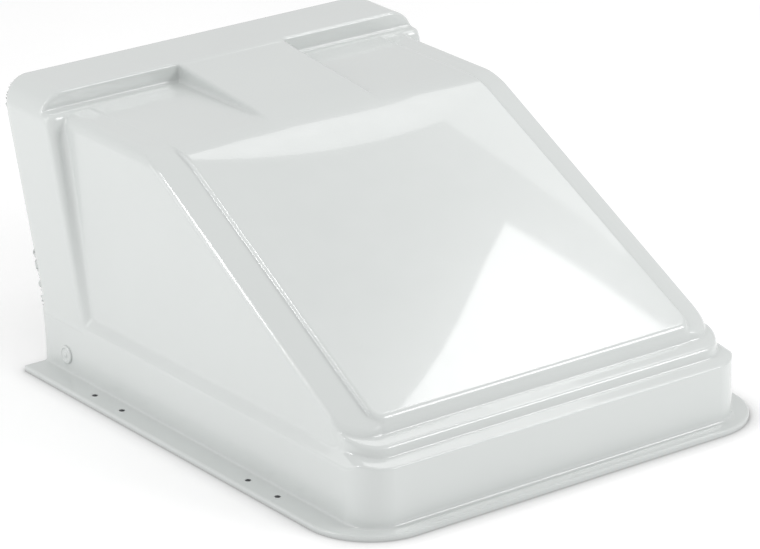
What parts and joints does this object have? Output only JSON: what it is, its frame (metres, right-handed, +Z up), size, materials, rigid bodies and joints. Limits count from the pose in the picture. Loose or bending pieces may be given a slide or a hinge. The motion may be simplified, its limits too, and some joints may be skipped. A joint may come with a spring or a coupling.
{
  "type": "roof vent cover",
  "caption": "Wedge-shaped white cover for a caravan roof vent, with a flanged base, louvred rear opening, swing-down insect screen and pull-pin hinges.",
  "frame": {"origin": "on the roof surface, under the middle of the bounding box", "axes": "+Z up from the roof, +X to the hinged side, -Y to the low closed end, +Y to the high louvred end"},
  "size_m": [0.6084, 0.708, 0.328],
  "materials": {
    "shell_white": "high gloss, faintly cool white, smooth vacuum-formed skin",
    "grille_white": "moulded, fine satin grain",
    "rivet_aluminium": "plain, pulled blind rivet",
    "stainless": "brushed, rolled barrel",
    "pivot_white": "moulded white nylon",
    "nylon_natural": "natural nylon",
    "spring_steel": "bright spring steel",
    "frame_aluminium": "mill finish with drawing lines",
    "nylon_black": "moulded, slightly rough",
    "screen_mesh": "vinyl-coated fibreglass insect mesh",
    "spline_vinyl": "ribbed vinyl cord",
    "pin_steel": "polished pin",
    "grip_vinyl": "dipped red vinyl"
  },
  "bodies": {
    "roof_brackets": {"hinge_base_front": "stainless", "hinge_base_rear": "stainless", "latch_plate_front": "stainless", "latch_plate_rear": "stainless", "snap_studs": "nylon_black"},
    "cover": {"cover_shell": "shell_white", "rear_grille": "grille_white", "grille_rivets": "rivet_aluminium", "hinge_leaf_front": "stainless", "hinge_leaf_rear": "stainless", "leaf_screws": "stainless", "leaf_nuts": "stainless", "screen_pivot_left": "pivot_white", "screen_pivot_right": "pivot_white", "pivot_spacers": "nylon_natural", "screen_clip_left": "spring_steel", "screen_clip_right": "spring_steel", "clip_rivets": "rivet_aluminium"},
    "screen": {"screen_rails": "frame_aluminium", "screen_corners": "nylon_black", "screen_mesh": "screen_mesh", "screen_spline": "spline_vinyl"},
    "front_pin": {"hinge_pin_front": "pin_steel", "pin_grip_front": "grip_vinyl"},
    "rear_pin": {"hinge_pin_rear": "pin_steel", "pin_grip_rear": "grip_vinyl"}
  },
  "joints": [
    {"name": "cover_hinge", "type": "hinge", "parent": "roof_brackets", "child": "cover", "pos_m": [0.3003, 0, 0.004], "axis": [0, 1, 0], "range_deg": [0, 95]},
    {"name": "screen_swing", "type": "hinge", "parent": "cover", "child": "screen", "pos_m": [0, 0.2327, 0.026], "axis": [1, 0, 0], "range_deg": [0, 80]},
    {"name": "front_pin_pull", "type": "slide", "parent": "roof_brackets", "child": "front_pin", "axis": [0, -1, 0], "range_m": [0, 0.085]},
    {"name": "rear_pin_pull", "type": "slide", "parent": "roof_brackets", "child": "rear_pin", "axis": [0, -1, 0], "range_m": [0, 0.085]}
  ]
}
